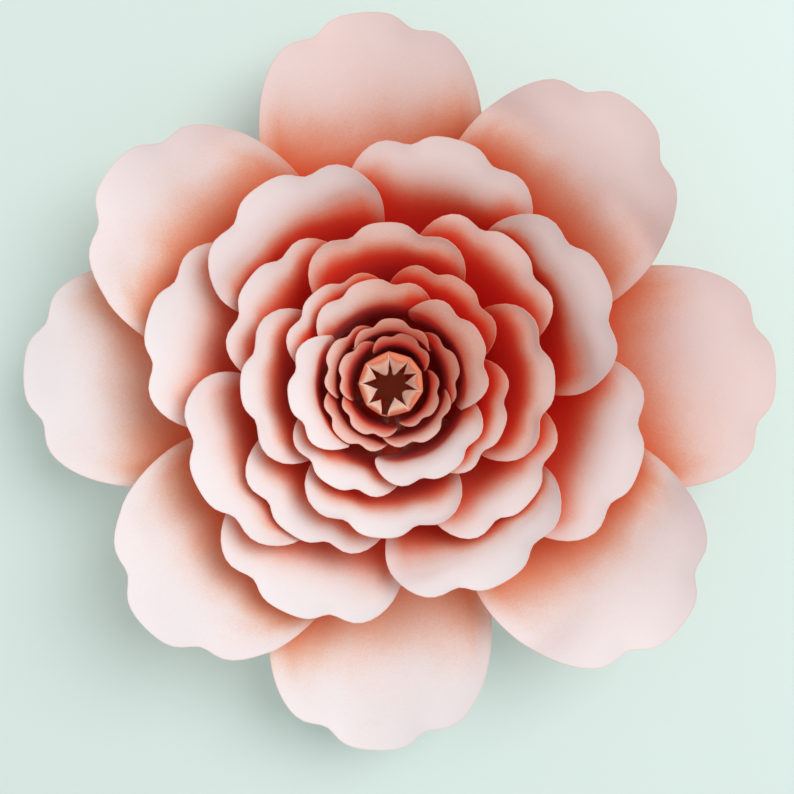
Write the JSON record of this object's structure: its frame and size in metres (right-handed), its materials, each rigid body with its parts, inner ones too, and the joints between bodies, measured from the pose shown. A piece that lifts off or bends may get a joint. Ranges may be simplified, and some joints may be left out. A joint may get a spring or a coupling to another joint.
{
  "type": "giant paper flower",
  "caption": "Giant decorative paper flower: rings of curled card petals round a rolled bud with folded tabs, on a flat round backing.",
  "frame": {"origin": "centre of the flat back face of the round backing, which lies on a table or against a wall", "axes": "+Z out of the flower's face towards the viewer, +Y towards the top of the flower as pictured, +X to its right"},
  "size_m": [0.5651, 0.5534, 0.115],
  "materials": {
    "ring1_card": "matte",
    "ring2_card": "matte",
    "ring3_card": "matte",
    "ring4_card": "matte",
    "ring5_card": "matte",
    "ring6_card": "matte",
    "bud_card": "matte",
    "backing_card": "matte"
  },
  "bodies": {
    "root": {"backing_disc": "backing_card", "centre_bud": "bud_card", "ring1_petal_1": "ring1_card", "ring1_petal_2": "ring1_card", "ring1_petal_3": "ring1_card", "ring1_petal_4": "ring1_card", "ring1_petal_5": "ring1_card", "ring1_petal_6": "ring1_card", "ring1_petal_7": "ring1_card", "ring1_petal_8": "ring1_card", "ring2_petal_1": "ring2_card", "ring2_petal_2": "ring2_card", "ring2_petal_3": "ring2_card", "ring2_petal_4": "ring2_card", "ring2_petal_5": "ring2_card", "ring2_petal_6": "ring2_card", "ring2_petal_7": "ring2_card", "ring2_petal_8": "ring2_card", "ring3_petal_1": "ring3_card", "ring3_petal_2": "ring3_card", "ring3_petal_3": "ring3_card", "ring3_petal_4": "ring3_card", "ring3_petal_5": "ring3_card", "ring3_petal_6": "ring3_card", "ring3_petal_7": "ring3_card", "ring3_petal_8": "ring3_card", "ring4_petal_1": "ring4_card", "ring4_petal_2": "ring4_card", "ring4_petal_3": "ring4_card", "ring4_petal_4": "ring4_card", "ring4_petal_5": "ring4_card", "ring4_petal_6": "ring4_card", "ring4_petal_7": "ring4_card", "ring4_petal_8": "ring4_card", "ring5_petal_1": "ring5_card", "ring5_petal_2": "ring5_card", "ring5_petal_3": "ring5_card", "ring5_petal_4": "ring5_card", "ring5_petal_5": "ring5_card", "ring6_petal_1": "ring6_card", "ring6_petal_2": "ring6_card", "ring6_petal_3": "ring6_card", "ring6_petal_4": "ring6_card"}
  },
  "joints": []
}
